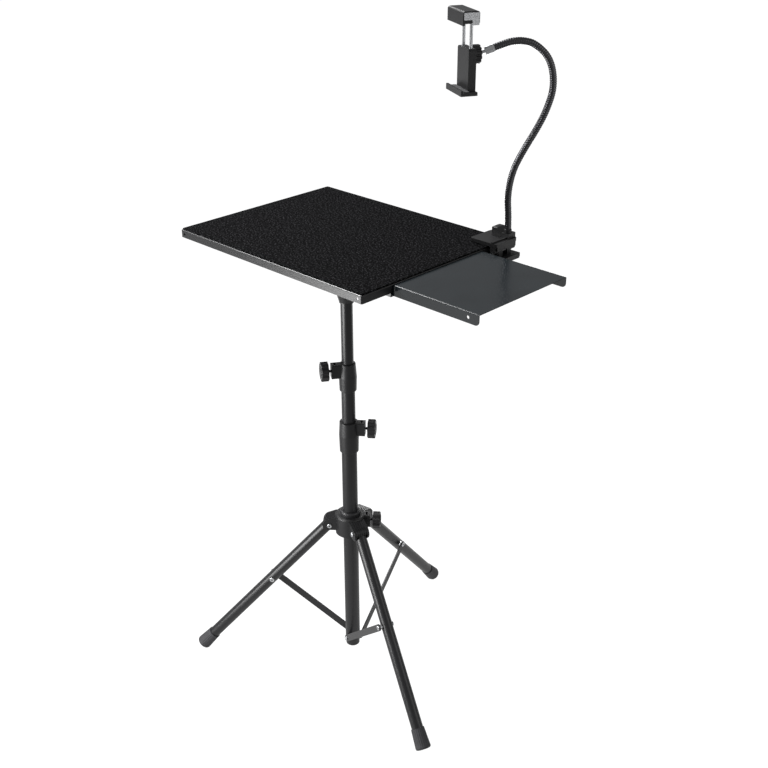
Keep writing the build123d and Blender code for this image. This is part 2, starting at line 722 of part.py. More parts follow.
with BuildPart() as mouse_tray:
    with Locations((mouse_inner, -tray_forward, mouse_top)):
        Box(mouse_length, mouse_depth, mouse_flange, align=(Align.MIN, Align.CENTER, Align.MAX))
    fillet(mouse_tray.edges().filter_by(Axis.X).group_by(Axis.Z)[-1], sheet_bend)
    with Locations((mouse_inner, -tray_forward, mouse_top - sheet)):
        Box(mouse_length, mouse_depth - sheet * 2, mouse_flange - sheet,
            align=(Align.MIN, Align.CENTER, Align.MAX), mode=Mode.SUBTRACT)
    fillet(mouse_tray.edges().filter_by(Axis.Y).group_by(Axis.Z)[0].sort_by(Axis.X)[-2:], mouse_corner)
    for side in (-1, 1):
        ear_side = -tray_forward + side * (mouse_depth / 2 + ear_reach / 2 - sheet / 2)
        with Locations((mouse_inner, ear_side, mouse_bottom)):
            Box(sheet * 2, ear_reach + sheet, ear_height, align=(Align.MIN, Align.CENTER, Align.MIN))
    with Locations((mouse_outer - mouse_hole_inset, -tray_forward, mouse_bottom + mouse_flange / 2)):
        Cylinder(mouse_hole_radius, mouse_depth + cut_over, rotation=(90, 0, 0), mode=Mode.SUBTRACT)
keep(mouse_tray.part, "mouse_tray")


def rail(side):
    lip_top = mouse_bottom - rail_lip_gap
    foot_side = -tray_forward + side * (rail_web + sheet + rail_foot / 2)
    web_side = -tray_forward + side * (rail_web + sheet / 2)
    lip_side = -tray_forward + side * (rail_web + sheet - rail_lip / 2)
    stop_side = -tray_forward + side * (rail_web - rail_gap - ear_reach / 2 + rail_gap / 2)
    stop_place = mouse_inner + sheet * 2 + side_gap
    with BuildPart() as channel:
        with Locations((rail_middle, foot_side, sheet_bottom)):
            Box(rail_length, rail_foot, sheet, align=(Align.CENTER, Align.CENTER, Align.MAX))
        with Locations((rail_middle, web_side, sheet_bottom)):
            Box(rail_length, sheet, sheet_bottom - lip_top, align=(Align.CENTER, Align.CENTER, Align.MAX))
        with Locations((rail_middle, lip_side, lip_top)):
            Box(rail_length, rail_lip, sheet, align=(Align.CENTER, Align.CENTER, Align.MAX))
        with Locations((stop_place, stop_side, lip_top)):
            Box(sheet, ear_reach, ear_height, align=(Align.MIN, Align.CENTER, Align.MIN))
        with Locations(*[(x, y, sheet_bottom) for x, y in rail_rivet_places]):
            Cylinder(rail_rivet_radius + seat_gap, cut_over, mode=Mode.SUBTRACT)
    return channel.part


keep(rail(-1), "front_rail")
keep(rail(1), "rear_rail")

with BuildPart() as rail_rivets:
    with Locations(*[(x, y, sheet_bottom - sheet) for x, y in rail_rivet_places]):
        Cylinder(rail_rivet_radius, sheet * 2 - seat_gap, align=(Align.CENTER, Align.CENTER, Align.MIN))
        Cylinder(rail_rivet_head_radius, rail_rivet_head, align=(Align.CENTER, Align.CENTER, Align.MAX))
keep(rail_rivets.part, "rail_rivets")

# Clip: two moulded arms on a pin, one over the tray and one under it
clip_rear = tray_rear - clip_rear_inset
clip_middle = clip_rear - clip_width / 2
clip_pin_x = tray_right + clip_pin_out
clip_pin_height = (pad_top + flange_bottom) / 2
upper_plate_bottom = pad_top + clip_pad
lower_plate_top = flange_bottom - clip_pad
knuckle_step = clip_width / clip_knuckles
knuckle_places = [clip_rear - knuckle_step * (place + 0.5) for place in range(clip_knuckles)]
neck_x = tray_right + neck_out
neck_y = tray_rear - neck_from_rear
neck_base = upper_plate_bottom + clip_plate
block_top = neck_base + clip_block_height
block_outer = tray_right + clip_block_reach
wall_top = neck_base + clip_wall_height
wall_start = tray_right - clip_wall_start
wall_end = tray_right - clip_wall_end


def knuckles(places, link_height):
    with Locations(*[(clip_pin_x, y, clip_pin_height) for y in places]):
        Cylinder(clip_knuckle_radius, knuckle_step - side_gap * 2, rotation=(90, 0, 0))
    link_bottom = min(clip_pin_height, link_height)
    with Locations(*[(clip_pin_x, y, link_bottom) for y in places]):
        Box(clip_knuckle_radius * 2, knuckle_step - side_gap * 2, abs(link_height - clip_pin_height),
            align=(Align.CENTER, Align.CENTER, Align.MIN))


with BuildPart() as upper_arm:
    with Locations((tray_right - clip_jaw_reach, clip_middle, upper_plate_bottom)):
        Box(clip_jaw_reach + clip_upper_handle, clip_width, clip_plate,
            align=(Align.MIN, Align.CENTER, Align.MIN))
    fillet(upper_arm.edges().filter_by(Axis.Z), clip_round * 2)
    with Locations((tray_right + clip_upper_handle, clip_middle, neck_base)):
        Box(clip_upper_handle - clip_rim, clip_width - clip_round * 4, clip_handle_plate,
            align=(Align.MAX, Align.CENTER, Align.MAX))
        Box(clip_lip, clip_width - clip_round * 4, clip_lip_height, align=(Align.MAX, Align.CENTER, Align.MAX))
    with Locations((tray_right + clip_rim_out, clip_middle, neck_base)):
        Box(clip_rim, clip_width, clip_rim_height, align=(Align.CENTER, Align.CENTER, Align.MIN))
    with BuildSketch(Plane.XZ.offset(-clip_rear)):
        with BuildLine():
            Polyline((wall_start, neck_base), (wall_start, wall_top), (wall_end, wall_top),
                     (tray_right, block_top), (block_outer, block_top), (block_outer, neck_base), close=True)
        make_face()
    extrude(amount=clip_block_depth)
    fillet(upper_arm.faces().sort_by(Axis.Z)[-1].edges(), clip_round)
    knuckles((knuckle_places[0], knuckle_places[-1]), upper_plate_bottom)
    with Locations((clip_pin_x, clip_middle, clip_pin_height)):
        Cylinder(clip_pin_radius + seat_gap, clip_width + cut_over, rotation=(90, 0, 0), mode=Mode.SUBTRACT)
    with Locations((neck_x, neck_y, block_top)):
        Cylinder(base_ferrule_radius + seat_gap, clip_block_height, mode=Mode.SUBTRACT)
keep(upper_arm.part, "clip_upper_arm")

with BuildPart() as lower_arm:
    with Locations((tray_right - clip_jaw_reach, clip_middle, lower_plate_top)):
        Box(clip_jaw_reach + clip_lower_handle, clip_width, clip_plate,
            align=(Align.MIN, Align.CENTER, Align.MAX))
    fillet(lower_arm.edges().filter_by(Axis.Z), clip_round * 2)
    with Locations((tray_right + clip_lower_handle, clip_middle, lower_plate_top)):
        Box(clip_lower_handle - clip_rim, clip_width - clip_round * 4, clip_handle_plate,
            align=(Align.MAX, Align.CENTER, Align.MAX))
    knuckles((knuckle_places[1], knuckle_places[-2]), lower_plate_top)
    with Locations((clip_pin_x, clip_middle, clip_pin_height)):
        Cylinder(clip_pin_radius + running_gap, clip_width + cut_over, rotation=(90, 0, 0),
                 mode=Mode.SUBTRACT)
keep(lower_arm.part, "clip_lower_arm")

with BuildPart() as clip_pin:
    with Locations((clip_pin_x, clip_middle, clip_pin_height)):
        Cylinder(clip_pin_radius, clip_width, rotation=(90, 0, 0))
keep(clip_pin.part, "clip_pin")

for arm, height, grow in (("upper", upper_plate_bottom, Align.MAX), ("lower", lower_plate_top, Align.MIN)):
    with BuildPart() as jaw_pad:
        with Locations((tray_right - clip_jaw_reach + clip_pad_margin, clip_middle, height)):
            Box(clip_jaw_reach - clip_pad_margin, clip_width - clip_pad_margin * 2, clip_pad - seat_gap,
                align=(Align.MIN, Align.CENTER, grow))
    keep(jaw_pad.part, f"clip_{arm}_pad")

# Torsion spring on the pin's middle: a helix of quarter turns, each made of two tangent arcs
spring_rise = clip_spring_pitch / 4


def spring_point(quarter):
    turn = radians(90 * quarter)
    out, up = clip_spring_radius * cos(turn), clip_spring_radius * sin(turn)
    side = clip_middle + (quarter - clip_spring_turns * 2) * spring_rise
    return Vector(clip_pin_x + out, side, clip_pin_height + up)


def spring_heading(quarter):
    turn = radians(90 * quarter)
    climb = clip_spring_pitch / (2 * pi)
    return Vector(-clip_spring_radius * sin(turn), climb, clip_spring_radius * cos(turn)).normalized()


with BuildLine() as spring_line:
    first = spring_point(0) - spring_heading(0) * clip_spring_wire * 2
    Line(first, spring_point(0))
    for quarter in range(clip_spring_turns * 4):
        here, there = spring_point(quarter), spring_point(quarter + 1)
        leave, arrive = spring_heading(quarter), spring_heading(quarter + 1)
        chord, bend = there - here, 2 * (1 - leave.dot(arrive))
        along = chord.dot(leave + arrive)
        reach = (sqrt(along * along + bend * chord.dot(chord)) - along) / bend
        joint = (here + there + (leave - arrive) * reach) * 0.5
        TangentArc(here, joint, tangent=leave)
        TangentArc(joint, there, tangent=there - arrive * reach - here - leave * reach)
    last = spring_point(clip_spring_turns * 4)
    Line(last, last + spring_heading(clip_spring_turns * 4) * clip_spring_wire * 2)

with BuildPart() as clip_spring:
    with BuildSketch(Plane(origin=first, z_dir=spring_heading(0))):
        Circle(clip_spring_wire)
    sweep(path=spring_line.wire())
keep(clip_spring.part, "clip_spring")
spring_path = spring_line.wire()
spring_steps = clip_spring_turns * clip_spring_dots
spring_dots = [spring_path @ (step / spring_steps) for step in range(spring_steps + 1)]
spring_gap = min((one - other).length for place, one in enumerate(spring_dots)
                 for other in spring_dots[place + clip_spring_dots // 2:]) - clip_spring_wire * 2
print("spring's least gap to itself:", round(spring_gap, 2))

# Neck: a ribbed bendable arm in one upright plane, from a ferrule on the clip to the ball's stud
neck_turn = radians(neck_plane_azimuth)
neck_side = (cos(neck_turn), sin(neck_turn), 0)
neck_floor = block_top - clip_block_height / 2 + base_ferrule_length


def neck_point(place):
    return Vector(neck_x + place[0] * neck_side[0], neck_y + place[0] * neck_side[1], neck_floor + place[1])


neck_points = [neck_point(place) for place in neck_route]
neck_radii = []
for before, here, after in zip(neck_points, neck_points[1:], neck_points[2:]):
    turn = (here - before).get_angle(after - here)
    shorter = min((here - before).length, (after - here).length)
    neck_radii.append(neck_bend_share * shorter / tan(radians(turn / 2)))
print("neck bends:", [round(radius, 1) for radius in neck_radii])

with BuildLine() as neck_line:
    FilletPolyline(*neck_points, radius=neck_radii)
neck_path = neck_line.wire()
neck_length = neck_path.length
rib_count = int(neck_length / neck_rib_pitch)
neck_normal = (-neck_side[1], neck_side[0], 0)
rib_radii = (neck_radius, neck_radius, neck_radius - neck_groove, neck_radius - neck_groove)

with BuildPart() as neck:
    for rib in range(rib_count):
        for station, radius in zip(rib_station_shares, rib_radii):
            share = (rib + station) / rib_count
            with BuildSketch(Plane(origin=neck_path @ share, x_dir=neck_normal, z_dir=neck_path % share)):
                Circle(radius)
    with BuildSketch(Plane(origin=neck_path @ 1, x_dir=neck_normal, z_dir=neck_path % 1)):
        Circle(neck_radius)
    loft(ruled=True)
keep(neck.part, "neck")

with BuildPart() as base_ferrule:
    with BuildSketch(Plane(origin=neck_points[0], x_dir=neck_normal, z_dir=(0, 0, 1))):
        Circle(base_ferrule_radius)
    extrude(amount=-base_ferrule_length)
    fillet(base_ferrule.edges().group_by(Axis.Z)[-1], (base_ferrule_radius - neck_radius) / 2)
keep(base_ferrule.part, "neck_base_ferrule")

# Ball stud: ferrule on the neck's end, stud and ball in one turned piece
neck_end = neck_path @ 1
neck_heading = neck_path % 1
end_plane = Plane(origin=neck_end, x_dir=neck_normal, z_dir=neck_heading)
ball_centre = neck_end + neck_heading * (ferrule_length + stud_length)

with BuildPart() as ball_stud:
    with BuildSketch(end_plane):
        Circle(ferrule_radius)
    extrude(amount=ferrule_length)
    with BuildSketch(end_plane.offset(ferrule_length)):
        Circle(stud_radius)
    extrude(amount=stud_length)
    with Locations(ball_centre):
        Sphere(ball_radius)
keep(ball_stud.part, "ball_stud")

# Holder: local x is its width, y runs back from the lips to the ball, z is up
yaw = radians(holder_yaw)
across = (cos(yaw), sin(yaw), 0)
rearward = (-sin(yaw), cos(yaw), 0)
holder_depth = holder_lip + holder_slot + holder_back
ball_back = holder_depth + cup_length
holder_origin = ball_centre - Vector(*rearward) * ball_back
side_plane = Plane(origin=holder_origin, x_dir=rearward, z_dir=across)
rear_plane = Plane(origin=holder_origin, x_dir=(-across[0], -across[1], 0), z_dir=rearward)
half_open = holder_open / 2
back_front = holder_lip + holder_slot
rod_place = (0, back_front + holder_back / 2)


def level_plane(height):
    return Plane(origin=holder_origin + Vector(0, 0, height), x_dir=across, z_dir=(0, 0, 1))


with BuildPart() as holder_body:
    with BuildSketch(side_plane):
        with Locations((back_front, -half_open - holder_lower_jaw)):
            Rectangle(holder_back, half_open + holder_lower_jaw + holder_body_top,
                      align=(Align.MIN, Align.MIN))
    extrude(amount=holder_body_width / 2, both=True)
    fillet(holder_body.edges().filter_by(Axis((0, 0, 0), rearward)), holder_round * 2)
    with BuildSketch(side_plane):
        with Locations((0, -half_open - holder_lower_jaw)):
            Rectangle(holder_depth, holder_lower_jaw, align=(Align.MIN, Align.MIN))
            Rectangle(holder_lip, holder_lower_jaw + holder_lip_height, align=(Align.MIN, Align.MIN))
    extrude(amount=holder_width / 2, both=True)
    with BuildSketch(rear_plane.offset(holder_depth)):
        Circle(cup_radius)
    extrude(amount=cup_length - nut_ring_front - side_gap)
    with Locations(ball_centre):
        Sphere(ball_radius + side_gap, mode=Mode.SUBTRACT)
    with BuildSketch(level_plane(holder_body_top)):
        with Locations(rod_place):
            with GridLocations(rod_spacing, 0, 2, 1):
                Circle(rod_radius + running_gap)
    extrude(amount=-rod_depth - rod_travel - side_gap, mode=Mode.SUBTRACT)
keep(holder_body.part, "holder_body")

with BuildPart() as upper_jaw:
    with BuildSketch(side_plane):
        with Locations((0, half_open)):
            Rectangle(holder_depth, holder_upper_jaw, align=(Align.MIN, Align.MIN))
        with Locations((0, half_open - holder_lip_height)):
            Rectangle(holder_lip, holder_upper_jaw, align=(Align.MIN, Align.MIN))
    extrude(amount=holder_width / 2, both=True)
    fillet(upper_jaw.edges().filter_by(Axis((0, 0, 0), across)).group_by(Axis.Z)[-1], holder_jaw_round)
    with BuildSketch(level_plane(half_open)):
        with Locations(rod_place):
            with GridLocations(rod_spacing, 0, 2, 1):
                Circle(rod_radius + seat_gap)
    extrude(amount=holder_upper_jaw / 2, mode=Mode.SUBTRACT)
keep(upper_jaw.part, "holder_upper_jaw")

with BuildPart() as rods:
    with BuildSketch(level_plane(holder_body_top - rod_depth)):
        with Locations(rod_place):
            with GridLocations(rod_spacing, 0, 2, 1):
                Circle(rod_radius)
    extrude(amount=rod_depth - holder_body_top + half_open + holder_upper_jaw / 2 - seat_gap)
keep(rods.part, "holder_rods")

for jaw, height, grow in (("upper", half_open, Align.MAX), ("lower", -half_open, Align.MIN)):
    with BuildPart() as grip:
        with BuildSketch(side_plane):
            with Locations((holder_lip + seat_gap, height)):
                Rectangle(holder_slot - seat_gap * 2, holder_pad, align=(Align.MIN, grow))
        extrude(amount=holder_width / 2 - holder_round, both=True)
    keep(grip.part, f"holder_{jaw}_grip")

with BuildPart() as ball_ring:
    with BuildSketch(rear_plane.offset(ball_back - nut_ring_front)):
        Circle(nut_ring_radius)
        with PolarLocations(nut_ring_radius, nut_ring_flutes):
            Circle(nut_ring_flute_radius, mode=Mode.SUBTRACT)
    extrude(amount=nut_ring_front + nut_ring_rear)
    with Locations(ball_centre):
        Sphere(ball_radius + side_gap, mode=Mode.SUBTRACT)
keep(ball_ring.part, "ball_lock_ring")

# Every piece is moved so that the origin is on the floor, in the middle of the whole box
boxes = [piece.bounding_box() for piece in pieces.values()]
middle_x = (min(box.min.X for box in boxes) + max(box.max.X for box in boxes)) / 2
middle_y = (min(box.min.Y for box in boxes) + max(box.max.Y for box in boxes)) / 2
print("origin from the column's axis:", middle_x, middle_y)
for name, piece in pieces.items():
    placed = piece.moved(Location((-middle_x, -middle_y, 0)))
    placed.label = name
    export_step(placed, f"parts/{name}.step")
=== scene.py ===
import json
import math
import bpy
import numpy as np
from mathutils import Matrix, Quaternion, Vector


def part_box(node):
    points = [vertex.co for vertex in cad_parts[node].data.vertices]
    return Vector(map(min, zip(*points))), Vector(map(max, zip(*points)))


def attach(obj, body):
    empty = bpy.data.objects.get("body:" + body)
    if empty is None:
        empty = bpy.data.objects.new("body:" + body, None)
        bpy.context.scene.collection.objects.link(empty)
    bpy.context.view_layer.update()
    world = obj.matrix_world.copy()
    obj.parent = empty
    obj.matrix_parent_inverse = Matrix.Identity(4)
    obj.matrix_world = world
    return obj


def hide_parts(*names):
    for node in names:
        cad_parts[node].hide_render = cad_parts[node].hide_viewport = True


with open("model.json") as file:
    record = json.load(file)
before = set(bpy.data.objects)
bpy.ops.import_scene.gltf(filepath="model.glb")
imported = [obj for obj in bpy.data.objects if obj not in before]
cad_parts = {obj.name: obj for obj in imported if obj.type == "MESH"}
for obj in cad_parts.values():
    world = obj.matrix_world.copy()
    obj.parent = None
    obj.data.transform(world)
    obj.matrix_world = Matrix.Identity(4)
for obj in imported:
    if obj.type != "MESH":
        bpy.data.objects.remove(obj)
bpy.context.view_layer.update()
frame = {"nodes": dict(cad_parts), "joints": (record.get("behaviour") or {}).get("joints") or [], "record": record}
nodes = frame["nodes"]
mm = 0.001


def nodeMiddle(name):
    low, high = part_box(name)
    return (low + high) / 2


columnAxis = nodeMiddle("outer_tube")
print("frame loaded:", len(nodes), "nodes")

# Camera, floor and light: one camera at the photograph's view, a pale floor, soft boxes
view = {
    "azimuth": 44.30, "elevation": 26.60, "roll": -0.19,  # degrees
    "distance": 1.75786, "aimSide": 0.05617, "aimHeight": 0.52917, "clipEnd": 100,  # metres
    "focalPx": 1125.65, "framePx": 768, "sensorMm": 36,
}


def makeCamera():
    around, above = math.radians(view["azimuth"]), math.radians(view["elevation"])
    aim = Vector((columnAxis.x, columnAxis.y, view["aimHeight"]))
    aim += view["aimSide"] * Vector((math.cos(around), math.sin(around), 0))
    away = Vector((math.sin(around) * math.cos(above), -math.cos(around) * math.cos(above), math.sin(above)))
    lens = bpy.data.cameras.new("camera")
    lens.sensor_width = view["sensorMm"]
    lens.lens = view["sensorMm"] * view["focalPx"] / view["framePx"]
    lens.clip_end = view["clipEnd"]
    eye = bpy.data.objects.new("camera", lens)
    eye.location = aim + away * view["distance"]
    turn = (-away).to_track_quat("-Z", "Y")
    eye.rotation_mode = "QUATERNION"
    eye.rotation_quaternion = turn @ Quaternion((0, 0, 1), math.radians(view["roll"]))
    bpy.context.collection.objects.link(eye)
    bpy.context.scene.camera = eye


def linear(hexText):  # sRGB hex to linear red, green, blue and alpha
    parts = [int(hexText[i:i + 2], 16) / 255 for i in (0, 2, 4)]
    return [c / 12.92 if c <= 0.04045 else ((c + 0.055) / 1.055) ** 2.4 for c in parts] + [1.0]


def addNode(tree, kind, inputs=(), **settings):  # a node, its settings, and values or links for its inputs
    made = tree.nodes.new(kind)
    for name, value in settings.items():
        setattr(made, name, value)
    for key, value in dict(inputs).items():
        if isinstance(value, bpy.types.NodeSocket):
            tree.links.new(value, made.inputs[key])
        else:
            made.inputs[key].default_value = value
    return made


def mapRange(tree, value, fromMin, fromMax, toMin, toMax):  # one range of a value stretched over another
    return addNode(tree, "ShaderNodeMapRange", {"Value": value, "From Min": fromMin, "From Max": fromMax,
                                                "To Min": toMin, "To Max": toMax}).outputs[0]


def newMaterial(name):  # an empty principled material: its tree, its shader and Object coordinates
    made = bpy.data.materials.new(name)
    made.use_nodes = True
    tree = made.node_tree
    shader = tree.nodes["Principled BSDF"]
    place = tree.nodes.new("ShaderNodeTexCoord").outputs["Object"]
    return made, tree, shader, place


studio = {
    "floorSize": 60, "floorColour": "5C5C5C", "floorGlow": 1.0,
    "poolNear": 0.66, "poolFar": 0.18, "poolStart": 0.25, "poolEnd": 0.75,  # glow that the part sees
    "backGlow": 1.15, "backTurn": 134,  # more of it behind the part, and the way that lies
    "backStart": 0.4, "backEnd": 0.8, "backFade": 2.4, "backGone": 4.0,  # where it rises, where it fades
    "worldColour": "FFFFFF", "worldStrength": 0.27, "worldSeen": 1.0,
    "boxes": [  # name, place, aim, width, height, watts
        ("frontPanel", (-0.355, -0.905, 0.38), (-0.06, -0.04, 0.45), 0.51, 0.46, 9.2),
        ("dimPanel", (-0.355, -0.905, 0.38), (-0.06, -0.04, 0.45), 0.51, 0.46, 0.72),
        ("keyBox", (-0.9, -1.2, 2.4), (0.0, 0.0, 0.7), 1.4, 1.4, 8),
        ("edgeBox", (-1.16, -1.01, 1.88), (0.0, 0.0, 0.75), 0.6, 0.6, 32),
        ("foldBox", (-0.73, -0.10, 1.77), (0.05, -0.15, 0.8), 0.25, 0.25, 27),
        ("rearPanel", (-0.65, 0.95, 0.42), (0.0, 0.0, 0.5), 0.6, 0.4, 5),
        ("sideCard", (1.04, -0.14, 0.58), (0.07, 0.04, 1.07), 0.4, 0.4, 0.35),
        ("plateCard", (1.04, -0.14, 0.58), (0.07, 0.04, 1.07), 0.4, 0.4, 2.4),
        ("rightFill", (1.7, 0.6, 1.2), (0.0, 0.0, 0.5), 0.9, 1.2, 5),
        ("backBox", (-1.12, 0.40, 2.05), (0.0, -0.1, 0.75), 0.7, 0.7, 14),
    ],
    "flags": {  # box, and the pieces that it spares or lights alone
        "frontPanel": ("EXCLUDE", "mouse_tray"),
        "dimPanel": ("INCLUDE", "mouse_tray"),
        "foldBox": ("INCLUDE", "tray_pan"),
        "plateCard": ("INCLUDE", "leftJawPlate", "rightJawPlate"),
    },
}


def floorPaper():
    # paper white to the eye, dimmer to the part: a pool of glow under it and more behind; clear from below
    made, tree, shader, place = newMaterial("paleFloorPaper")
    shader.inputs["Base Color"].default_value = linear(studio["floorColour"])
    shader.inputs["Roughness"].default_value = 1.0
    shader.inputs["Specular IOR Level"].default_value = 0.0
    shader.inputs["Emission Color"].default_value = linear(studio["worldColour"])
    seen = addNode(tree, "ShaderNodeLightPath").outputs["Is Camera Ray"]
    reach = addNode(tree, "ShaderNodeVectorMath", {0: place}, operation="LENGTH").outputs["Value"]
    pool = mapRange(tree, reach, studio["poolStart"], studio["poolEnd"], studio["poolNear"], studio["poolFar"])
    turn = math.radians(studio["backTurn"])
    depth = addNode(tree, "ShaderNodeVectorMath", {0: place, 1: (math.cos(turn), math.sin(turn), 0)},
                    operation="DOT_PRODUCT").outputs["Value"]
    back = mapRange(tree, depth, studio["backStart"], studio["backEnd"], 0, studio["backGlow"])
    fade = mapRange(tree, depth, studio["backFade"], studio["backGone"], 1, 0)
    both = addNode(tree, "ShaderNodeMath", {0: back, 1: fade, 2: pool}, operation="MULTIPLY_ADD").outputs[0]
    tree.links.new(mapRange(tree, seen, 0, 1, both, studio["floorGlow"]), shader.inputs["Emission Strength"])
    under = addNode(tree, "ShaderNodeNewGeometry").outputs["Backfacing"]
    clear = addNode(tree, "ShaderNodeBsdfTransparent").outputs[0]
    sides = addNode(tree, "ShaderNodeMixShader", {0: under, 1: shader.outputs[0], 2: clear}).outputs[0]
    tree.links.new(sides, tree.nodes["Material Output"].inputs["Surface"])
    return made


def makeFloor():
    half = studio["floorSize"] / 2
    corners = [(-half, -half, 0), (half, -half, 0), (half, half, 0), (-half, half, 0)]
    mesh = bpy.data.meshes.new("floor")
    mesh.from_pydata(corners, [], [(0, 1, 2, 3)])
    mesh.materials.append(floorPaper())
    floor = bpy.data.objects.new("floor", mesh)
    bpy.context.collection.objects.link(floor)


def makeWorld():
    world = bpy.data.worlds.new("studio")
    world.use_nodes = True
    tree = world.node_tree
    sky = tree.nodes["Background"]
    sky.inputs["Color"].default_value = linear(studio["worldColour"])
    seen = addNode(tree, "ShaderNodeLightPath").outputs["Is Camera Ray"]
    level = mapRange(tree, seen, 0, 1, studio["worldStrength"], studio["worldSeen"])
    tree.links.new(level, sky.inputs["Strength"])
    bpy.context.scene.world = world
    bpy.context.scene.view_settings.view_transform = "Standard"
    bpy.context.scene.view_settings.look = "None"


def makeBoxes():
    for name, spot, aim, width, height, watts in studio["boxes"]:
        lamp = bpy.data.lights.new(name, "AREA")
        lamp.shape = "RECTANGLE"
        lamp.size, lamp.size_y = width, height
        lamp.energy = watts
        box = bpy.data.objects.new(name, lamp)
        box.location = Vector(spot)
        box.rotation_mode = "QUATERNION"
        box.rotation_quaternion = (Vector(aim) - Vector(spot)).to_track_quat("-Z", "Y")
        box.visible_camera = False
        bpy.context.collection.objects.link(box)


makeCamera()
makeFloor()
makeWorld()
makeBoxes()
print("camera and studio set")


def pattern(tree, kind, place, sizeMm, **inputs):  # a texture of that size in Object coordinates
    return addNode(tree, kind, {"Vector": place, "Scale": 1 / (sizeMm * mm), **inputs}).outputs


def setColour(tree, shader, share, dark, light):  # a blend of two colours by a share
    blend = addNode(tree, "ShaderNodeMix", {"Factor": share, "A": linear(dark), "B": linear(light)},
                    data_type="RGBA")
    tree.links.new(blend.outputs[2], shader.inputs["Base Color"])


def setGloss(tree, shader, share, smooth, dull):  # roughness between two values by a share
    tree.links.new(mapRange(tree, share, 0, 1, smooth, dull), shader.inputs["Roughness"])


def setBump(tree, shader, height, strength, depthMm):
    bump = addNode(tree, "ShaderNodeBump", {"Height": height, "Strength": strength, "Distance": depthMm * mm})
    tree.links.new(bump.outputs[0], shader.inputs["Normal"])


# Powder coat on steel tube, strip and sheet: a baked polyester film, satin, with fine orange peel
coat = {"driftMm": 60, "tintFrom": 0.7, "tintTo": 1.3, "glossSpread": 0.03, "bump": 0.06, "bumpMm": 0.4}


def powderCoat(name, dark, light, rough, grainMm):
    made, tree, shader, place = newMaterial(name)
    grain = pattern(tree, "ShaderNodeTexNoise", place, grainMm, Detail=3)["Fac"]
    drift = pattern(tree, "ShaderNodeTexNoise", place, coat["driftMm"], Detail=2)["Fac"]
    both = addNode(tree, "ShaderNodeMath", {0: grain, 1: drift}, operation="ADD").outputs[0]
    setColour(tree, shader, mapRange(tree, both, coat["tintFrom"], coat["tintTo"], 0, 1), dark, light)
    setGloss(tree, shader, grain, rough - coat["glossSpread"], rough + coat["glossSpread"])
    setBump(tree, shader, grain, coat["bump"], coat["bumpMm"])
    return made


# Moulded nylon and acetal: matt black with a spark-eroded grain and a faint flow mottle
nylon = {"flowMm": 18, "glossDown": 0.05, "glossUp": 0.08, "bump": 0.2, "bumpMm": 0.3}


def mouldedNylon(name, dark, light, rough, grainMm):
    made, tree, shader, place = newMaterial(name)
    grain = pattern(tree, "ShaderNodeTexVoronoi", place, grainMm)["Distance"]
    flow = pattern(tree, "ShaderNodeTexNoise", place, nylon["flowMm"], Detail=3)["Fac"]
    setColour(tree, shader, flow, dark, light)
    setGloss(tree, shader, flow, rough - nylon["glossDown"], rough + nylon["glossUp"])
    setBump(tree, shader, grain, nylon["bump"], nylon["bumpMm"])
    return made


# Plated steel: a thin metal coat, bright zinc or black nickel, with fine barrel-tumbling marks
plating = {"marksMm": 1.2, "bump": 0.08, "bumpMm": 0.2}


def platedSteel(name, dark, light, smooth, dull):
    made, tree, shader, place = newMaterial(name)
    shader.inputs["Metallic"].default_value = 1.0
    marks = pattern(tree, "ShaderNodeTexNoise", place, plating["marksMm"], Detail=4)["Fac"]
    setColour(tree, shader, marks, dark, light)
    setGloss(tree, shader, marks, smooth, dull)
    setBump(tree, shader, marks, plating["bump"], plating["bumpMm"])
    return made


# Moulded rubber: dull black with a dusty bloom in its pores
rubber = {
    "dark": "232325", "light": "3A3A3D", "bloomMm": 6, "smooth": 0.55, "dull": 0.75,
    "bump": 0.15, "bumpMm": 0.3,
}


def mouldedRubber():
    made, tree, shader, place = newMaterial("mouldedRubber")
    bloom = pattern(tree, "ShaderNodeTexNoise", place, rubber["bloomMm"], Detail=5)["Fac"]
    setColour(tree, shader, bloom, rubber["dark"], rubber["light"])
    setGloss(tree, shader, bloom, rubber["smooth"], rubber["dull"])
    setBump(tree, shader, bloom, rubber["bump"], rubber["bumpMm"])
    return made


# Closed-cell EVA foam: matt black, a skin of cut cells about two millimetres wide that speckle grey
foam = {
    "dark": "030304", "light": "39393B", "rough": 0.92, "shine": 0.05,
    "cellMm": 2.2, "speckMm": 2.4, "speckFrom": 0.52, "speckTo": 0.66, "bump": 0.5, "bumpMm": 0.8,
}


def evaFoam():
    made, tree, shader, place = newMaterial("closedCellFoam")
    shader.inputs["Roughness"].default_value = foam["rough"]
    shader.inputs["Specular IOR Level"].default_value = foam["shine"]
    cells = pattern(tree, "ShaderNodeTexVoronoi", place, foam["cellMm"])["Distance"]
    fine = pattern(tree, "ShaderNodeTexNoise", place, foam["speckMm"], Detail=4)["Fac"]
    speck = mapRange(tree, fine, foam["speckFrom"], foam["speckTo"], 0, 1)
    setColour(tree, shader, speck, foam["dark"], foam["light"])
    setBump(tree, shader, cells, foam["bump"], foam["bumpMm"])
    return made


